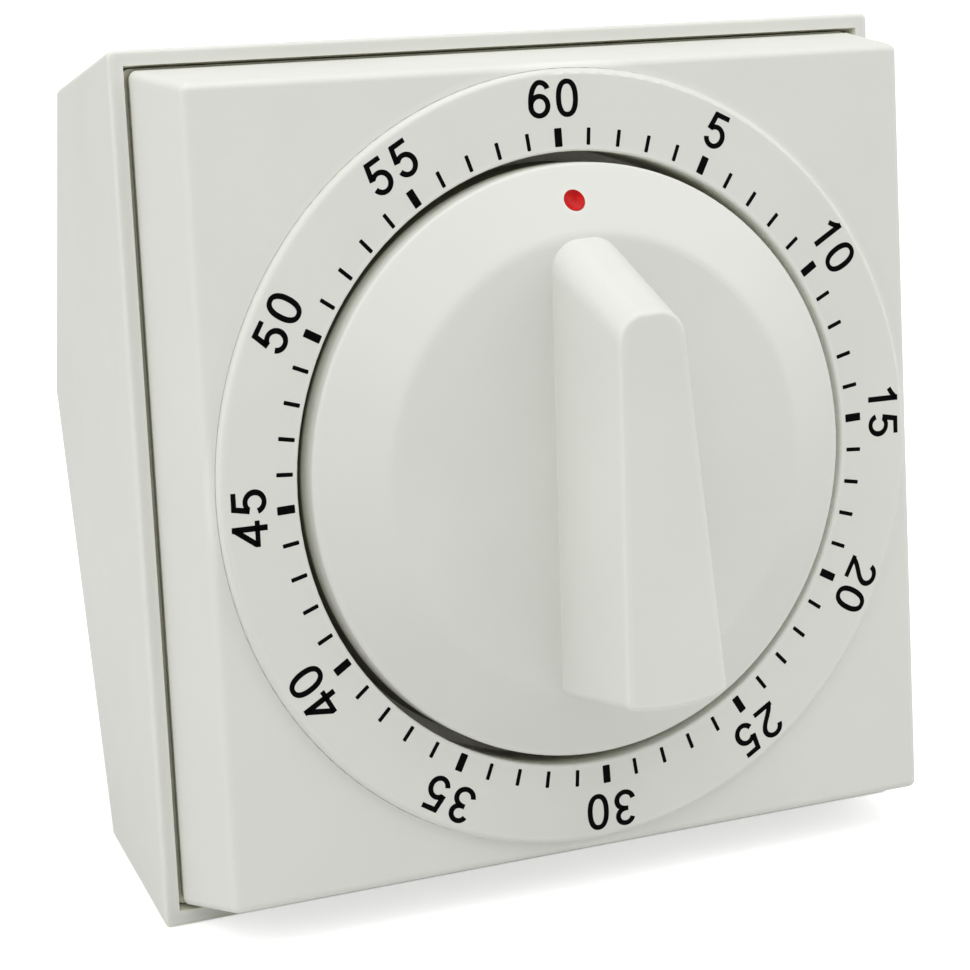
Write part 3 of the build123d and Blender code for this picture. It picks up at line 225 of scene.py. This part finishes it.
def stroke_sides(points):
    """Left and right edge of a stroke along a line of points, mitred at its corners."""
    closed = (points[0] - points[-1]).length < SAME_POINT
    count = len(points) - 1 if closed else len(points)
    left, right = [], []
    for i in range(count):
        before = points[(i - 1) % count] if closed or i > 0 else None
        after = points[(i + 1) % count] if closed or i < count - 1 else None
        ways = []
        if before is not None:
            ways.append((points[i] - before).normalized())
        if after is not None:
            ways.append((after - points[i]).normalized())
        normals = [Vector((-way.y, way.x)) for way in ways]
        normal = sum(normals, Vector((0, 0))).normalized()
        width = BAR_WIDTH + (STEM_WIDTH - BAR_WIDTH) * normal.x ** 2
        reach = width / 2 / max(normal.dot(normals[0]), MITRE_LIMIT)
        left.append(points[i] + normal * reach)
        right.append(points[i] - normal * reach)
    return left, right, closed


def add_plate(mesh, left, right, closed):
    """Closed flat plate between two rows of points, as thick as the ink."""
    count = len(left)
    rows = [
        [mesh.verts.new((p.x * MM, p.y * MM, z * MM)) for p in side]
        for side in (left, right)
        for z in (INK_RISE, -INK_ROOT)
    ]
    left_top, left_low, right_top, right_low = rows
    for i in range(count if closed else count - 1):
        j = (i + 1) % count
        mesh.faces.new((left_top[i], right_top[i], right_top[j], left_top[j]))
        mesh.faces.new((left_low[i], left_low[j], right_low[j], right_low[i]))
        mesh.faces.new((left_top[i], left_top[j], left_low[j], left_low[i]))
        mesh.faces.new((right_top[i], right_low[i], right_low[j], right_top[j]))
    if not closed:
        for i in (0, count - 1):
            mesh.faces.new((left_top[i], left_low[i], right_low[i], right_top[i]))


def ink_object(name, mesh):
    """Finished print on the ring's face, which moves with the case."""
    bmesh.ops.recalc_face_normals(mesh, faces=mesh.faces)
    data = bpy.data.meshes.new(name)
    mesh.to_mesh(data)
    mesh.free()
    data.transform(dial_matrix(front_height("dial_ring")))
    obj = bpy.data.objects.new(name, data)
    bpy.context.scene.collection.objects.link(obj)
    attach(obj, "case")
    return obj


def on_scale(point, minute, radius, lean=0.0):
    """Point of a drawing that stands on the scale, moved to its minute."""
    angle = radians(SCALE_TWIST - 360 * minute / MINUTES)
    tilt = angle - radians(lean)
    x = point.x * cos(tilt) - point.y * sin(tilt) - radius * sin(angle)
    y = point.x * sin(tilt) + point.y * cos(tilt) + radius * cos(angle)
    return Vector((x, y)) + SCALE_OFFSET


def make_ticks(name, minutes, size):
    """Tick marks with clipped corners at the given minutes."""
    mesh = bmesh.new()
    width, length = size
    steps = (
        (-length / 2, width / 2 - TICK_CORNER),
        (-length / 2 + TICK_CORNER, width / 2),
        (length / 2 - TICK_CORNER, width / 2),
        (length / 2, width / 2 - TICK_CORNER),
    )
    for minute in minutes:
        left = [on_scale(Vector((-x, y)), minute, TICK_RADIUS) for y, x in steps]
        right = [on_scale(Vector((x, y)), minute, TICK_RADIUS) for y, x in steps]
        add_plate(mesh, left, right, False)
    return ink_object(name, mesh)


def make_number(minute):
    """Number of a five minute mark, tops outward."""
    mesh = bmesh.new()
    text = str(minute or MINUTES)
    strokes = digit_strokes()
    lean, shift = (NUMBER_LEAN, NUMBER_SHIFT) if len(text) > 1 else (SINGLE_LEAN, SINGLE_SHIFT)
    start = shift - (DIGIT_PITCH * (len(text) - 1) + DIGIT_WIDTH) / 2
    for place, digit in enumerate(text):
        corner = Vector((start + DIGIT_PITCH * place, -DIGIT_HEIGHT / 2))
        for points in strokes[digit]:
            left, right, closed = stroke_sides(points)
            left = [on_scale(p + corner, minute, NUMBER_RADIUS, lean) for p in left]
            right = [on_scale(p + corner, minute, NUMBER_RADIUS, lean) for p in right]
            add_plate(mesh, left, right, closed)
    return ink_object("number_" + text, mesh)


majors = range(0, MINUTES, NUMBER_STEP)
minors = [minute for minute in range(MINUTES) if minute % NUMBER_STEP]
ink_pieces = [make_ticks("minute_ticks", minors, MINOR_TICK)]
ink_pieces.append(make_ticks("five_minute_ticks", majors, MAJOR_TICK))
ink_pieces += [make_number(minute) for minute in majors]


# Materials
class Shader:
    """A material's node tree with the few nodes that the finishes share."""

    def __init__(self, name):
        self.material = bpy.data.materials.new(name)
        self.material.use_nodes = True
        tree = self.material.node_tree
        self.nodes, self.links = tree.nodes, tree.links
        self.surface = self.nodes["Principled BSDF"]
        self.place = self.nodes.new("ShaderNodeTexCoord").outputs["Object"]

    def set(self, **values):
        """Plain values on the shader's own sockets."""
        for name, value in values.items():
            self.surface.inputs[name.replace("_", " ")].default_value = value

    def stretched(self, scale):
        """Coordinates stretched by a factor along each axis."""
        mapping = self.nodes.new("ShaderNodeMapping")
        mapping.inputs["Scale"].default_value = scale
        self.links.new(self.place, mapping.inputs["Vector"])
        return mapping.outputs["Vector"]

    def noise(self, size, detail=2.0, place=None):
        """Noise with features of a size in millimetres."""
        node = self.nodes.new("ShaderNodeTexNoise")
        node.inputs["Scale"].default_value = 1 / (size * MM)
        node.inputs["Detail"].default_value = detail
        self.links.new(place or self.place, node.inputs["Vector"])
        return node.outputs["Fac"]

    def ramp(self, value, low, high, start=0.3, end=0.7):
        """Two colours spread over a value."""
        node = self.nodes.new("ShaderNodeValToRGB")
        node.color_ramp.elements[0].position = start
        node.color_ramp.elements[1].position = end
        node.color_ramp.elements[0].color = (*low, 1)
        node.color_ramp.elements[1].color = (*high, 1)
        self.links.new(value, node.inputs["Fac"])
        return node.outputs["Color"]

    def spread(self, value, low, high, start=0.3, end=0.7):
        """Value spread between two numbers."""
        node = self.nodes.new("ShaderNodeMapRange")
        node.inputs["From Min"].default_value = start
        node.inputs["From Max"].default_value = end
        node.inputs["To Min"].default_value = low
        node.inputs["To Max"].default_value = high
        self.links.new(value, node.inputs["Value"])
        return node.outputs["Result"]

    def openness(self, reach, samples, inside=False):
        """Part of the air, or of the solid inside, that nothing hides within a reach in millimetres."""
        node = self.nodes.new("ShaderNodeAmbientOcclusion")
        node.samples = samples
        node.inside = inside
        node.inputs["Distance"].default_value = reach * MM
        return node.outputs["AO"]

    def blend(self, share, colour, other):
        """A linked colour that turns to another one by a share."""
        mix = self.nodes.new("ShaderNodeMix")
        mix.data_type = "RGBA"
        self.links.new(share, mix.inputs["Factor"])
        colours = [socket for socket in mix.inputs if socket.type == "RGBA"]
        self.links.new(colour, colours[0])
        colours[1].default_value = (*other, 1)
        return next(socket for socket in mix.outputs if socket.type == "RGBA")

    def depth(self, top, bottom):
        """Share that grows from none to all between two heights along the dial's axis, in metres."""
        height = self.nodes.new("ShaderNodeVectorMath")
        height.operation = "DOT_PRODUCT"
        height.inputs[1].default_value = OUT
        self.links.new(self.place, height.inputs[0])
        origin = CENTRE.dot(OUT)
        return self.spread(height.outputs["Value"], 0, 1, origin + top, origin + bottom)

    def bump(self, value, height, strength=1.0, below=None):
        """Bump of a height in millimetres, laid over another bump."""
        node = self.nodes.new("ShaderNodeBump")
        node.inputs["Strength"].default_value = strength
        node.inputs["Distance"].default_value = height * MM
        self.links.new(value, node.inputs["Height"])
        if below is not None:
            self.links.new(below, node.inputs["Normal"])
        return node.outputs["Normal"]

    def use(self, name, output):
        """Links an output to one of the shader's sockets."""
        self.links.new(output, self.surface.inputs[name])


def tinted(colour, factor):
    """Colour made darker or lighter by a factor."""
    return [min(channel * factor, 1.0) for channel in colour]


def moulded_plastic(name, roughness, gap_light, shade_depths=None):
    """Satin off-white plastic with a fine grain, a painted highlight on its edges, painted light on the
    walls of its gaps and painted shade at their bottom.
    """
    shader = Shader(name)
    dark, light = (tinted(OFF_WHITE, factor) for factor in FLOW_TINTS)
    flow = shader.ramp(shader.noise(FLOW_SIZE, detail=3), dark, light)
    # Painted highlight: lighter colour on convex edges
    edge = shader.spread(shader.openness(EDGE_HIGHLIGHT_REACH, samples=4, inside=True), 0, 1, *EDGE_HIGHLIGHT_SHARES)
    edge_highlighted_colour = shader.blend(edge, flow, tinted(OFF_WHITE, EDGE_HIGHLIGHT_TINT))
    gap = shader.openness(GAP_REACH, samples=10)
    # Painted light: paler, warmer colour on the walls of the gaps
    colour = shader.blend(shader.spread(gap, 0, 1, *GAP_LIGHT_SHARES), edge_highlighted_colour, gap_light)
    # Painted shade: darker below a depth in the knob's well
    if shade_depths:
        face = front_height("dial_ring")
        top, bottom = (face - depth * MM for depth in shade_depths)
        colour = shader.blend(shader.depth(top, bottom), colour, PAINTED_GAP_SHADE)
    # Painted shade at the bottom of the gaps
    shader.use("Base Color", shader.blend(shader.spread(gap, 0, 1, *GAP_SHADE_SHARES), colour, PAINTED_GAP_SHADE))
    patches = shader.noise(GLOSS_SIZE, detail=3)
    glossiest, dullest = roughness - GLOSS_SPREAD, roughness + GLOSS_SPREAD
    shader.use("Roughness", shader.spread(patches, glossiest, dullest))
    sink = shader.bump(shader.noise(SINK_SIZE, detail=1), SINK_DEPTH, strength=0.6)
    grain = shader.noise(GRAIN_SIZE, detail=2)
    shader.use("Normal", shader.bump(grain, GRAIN_DEPTH, strength=0.55, below=sink))
    shader.set(IOR=PLASTIC_IOR)
    return shader.material


def brushed_metal(name, colour, roughness, grain):
    """Metal with a fine drawn grain, grain being the stretch along each axis."""
    shader = Shader(name)
    lines = shader.noise(size=1.2, detail=3, place=shader.stretched(grain))
    shader.use("Base Color", shader.ramp(lines, tinted(colour, LINE_TINT), colour))
    shader.use("Roughness", shader.spread(lines, low=roughness, high=roughness + 0.14))
    shader.use("Normal", shader.bump(lines, height=0.004, strength=0.5))
    shader.set(Metallic=1.0)
    return shader.material


def stained_metal(name, colour, stain, roughness):
    """Stamped metal with cloudy stains and small pits."""
    shader = Shader(name)
    clouds = shader.noise(size=4, detail=4)
    shader.use("Base Color", shader.ramp(clouds, stain, colour, start=0.32, end=0.6))
    patches = shader.noise(size=1.5, detail=3)
    shader.use("Roughness", shader.spread(patches, low=roughness, high=roughness + 0.2))
    pits = shader.noise(size=0.2, detail=2)
    shader.use("Normal", shader.bump(pits, height=0.004, strength=0.5))
    shader.set(Metallic=1.0)
    return shader.material


def printed_ink(name):
    """Black pad print, slightly uneven."""
    shader = Shader(name)
    shader.use("Base Color", shader.ramp(shader.noise(size=0.6, detail=3), INK_DARK, INK_PALE))
    shader.use("Roughness", shader.spread(shader.noise(size=0.4, detail=2), low=0.42, high=0.6))
    shader.use("Normal", shader.bump(shader.noise(size=0.12, detail=2), height=0.003, strength=0.5))
    shader.set(Specular_IOR_Level=0.03)
    return shader.material


def red_paint(name):
    """Red paint filled in by hand, slightly uneven."""
    shader = Shader(name)
    shader.use("Base Color", shader.ramp(shader.noise(size=0.9, detail=2), RED_THICK, RED_THIN))
    shader.use("Roughness", shader.spread(shader.noise(size=0.5, detail=2), low=0.34, high=0.5))
    shader.use("Normal", shader.bump(shader.noise(size=0.5, detail=2), height=0.02, strength=0.6))
    shader.set(Specular_IOR_Level=0.2)
    return shader.material


ink = printed_ink("scale_ink")
slot_finish = {
    "shell": moulded_plastic("shell_plastic", 0.46, SHELL_GAP_LIGHT),
    "dial": moulded_plastic("dial_plastic", 0.44, DIAL_GAP_LIGHT, WELL_SHADE_DEPTHS),
    "knob": moulded_plastic("knob_plastic", 0.42, DIAL_GAP_LIGHT, WELL_SHADE_DEPTHS),
    "pointer": red_paint("pointer_paint"),
    "plate_steel": brushed_metal("plate_steel", PLATE_STEEL, 0.30, ROLLED),
    "screw_steel": stained_metal("zinc_steel", ZINC, ZINC_STAIN, 0.30),
    "arbor_steel": brushed_metal("turned_steel", TURNED_STEEL, 0.24, TURNED),
    "spring_steel": stained_metal("spring_steel", BLUED_STEEL, BLUED_STAIN, 0.26),
    "brass": stained_metal("wheel_brass", BRASS, BRASS_STAIN, 0.24),
    "bell": stained_metal("bell_plate", BELL_PLATE, BELL_STAIN, 0.14),
}
for subpart in frame["record"]["subparts"]:
    data = frame["nodes"][subpart["node"]].data
    data.materials.clear()
    data.materials.append(slot_finish[subpart["material_slot"]])
for piece in ink_pieces:
    piece.data.materials.append(ink)


# Floor, light and camera
def make_floor():
    """Plain white floor under the timer."""
    data = bpy.data.meshes.new("floor")
    half = FLOOR_SIZE / 2
    corners = [(-half, -half), (half, -half), (half, half), (-half, half)]
    data.from_pydata([(x, y, -FLOOR_DROP) for x, y in corners], [], [(0, 1, 2, 3)])
    floor = bpy.data.objects.new("floor", data)
    bpy.context.scene.collection.objects.link(floor)
    shader = Shader("floor_white")
    shader.set(Base_Color=FLOOR_COLOUR, Roughness=FLOOR_ROUGHNESS, Emission_Color=(1, 1, 1, 1))
    path = shader.nodes.new("ShaderNodeLightPath")
    glow = shader.nodes.new("ShaderNodeMapRange")
    glow.inputs["To Max"].default_value = FLOOR_GLOW
    shader.links.new(path.outputs["Is Camera Ray"], glow.inputs["Value"])
    shader.use("Emission Strength", glow.outputs["Result"])
    data.materials.append(shader.material)


def make_lamp(name, place, size, power):
    """Square soft box that faces the timer."""
    data = bpy.data.lights.new(name, "AREA")
    data.shape = "SQUARE"
    data.size = size
    data.energy = power
    lamp = bpy.data.objects.new(name, data)
    turn = (LAMP_TARGET - place).to_track_quat("-Z", "Y").to_matrix().to_4x4()
    lamp.matrix_world = Matrix.Translation(place) @ turn
    bpy.context.scene.collection.objects.link(lamp)


def make_world():
    """Even white surroundings, pure white where the camera or a glossy surface sees them."""
    world = bpy.data.worlds.new("studio")
    world.use_nodes = True
    nodes, links = world.node_tree.nodes, world.node_tree.links
    path = nodes.new("ShaderNodeLightPath")
    seen = nodes.new("ShaderNodeMath")
    seen.operation = "MAXIMUM"
    links.new(path.outputs["Is Camera Ray"], seen.inputs[0])
    links.new(path.outputs["Is Glossy Ray"], seen.inputs[1])
    strength = nodes.new("ShaderNodeMapRange")
    strength.inputs["To Min"].default_value = WORLD_STRENGTH
    strength.inputs["To Max"].default_value = 1.0
    links.new(seen.outputs["Value"], strength.inputs["Value"])
    background = nodes["Background"]
    background.inputs["Color"].default_value = (1, 1, 1, 1)
    links.new(strength.outputs["Result"], background.inputs["Strength"])
    bpy.context.scene.world = world


def make_camera():
    """Camera at the photograph's place."""
    data = bpy.data.cameras.new("camera")
    data.lens = CAMERA_LENS
    data.sensor_width = SENSOR
    data.sensor_fit = "HORIZONTAL"
    data.clip_start = CAMERA_CLIP
    camera = bpy.data.objects.new("camera", data)
    azimuth, elevation = radians(CAMERA_AZIMUTH), radians(CAMERA_ELEVATION)
    look = Vector((-sin(azimuth) * cos(elevation), cos(azimuth) * cos(elevation), -sin(elevation)))
    across = look.cross(Vector((0, 0, 1))).normalized()
    above = across.cross(look)
    roll = radians(CAMERA_ROLL)
    right = across * cos(roll) + above * sin(roll)
    top = above * cos(roll) - across * sin(roll)
    turn = Matrix((right, top, -look)).transposed().to_4x4()
    camera.matrix_world = Matrix.Translation(CAMERA_PLACE) @ turn
    bpy.context.scene.collection.objects.link(camera)
    bpy.context.scene.camera = camera


make_floor()
make_world()
for lamp_name, (lamp_place, lamp_width, lamp_power) in LAMPS.items():
    make_lamp(lamp_name, lamp_place, lamp_width, lamp_power)
make_camera()
bpy.context.scene.view_settings.view_transform = "Standard"
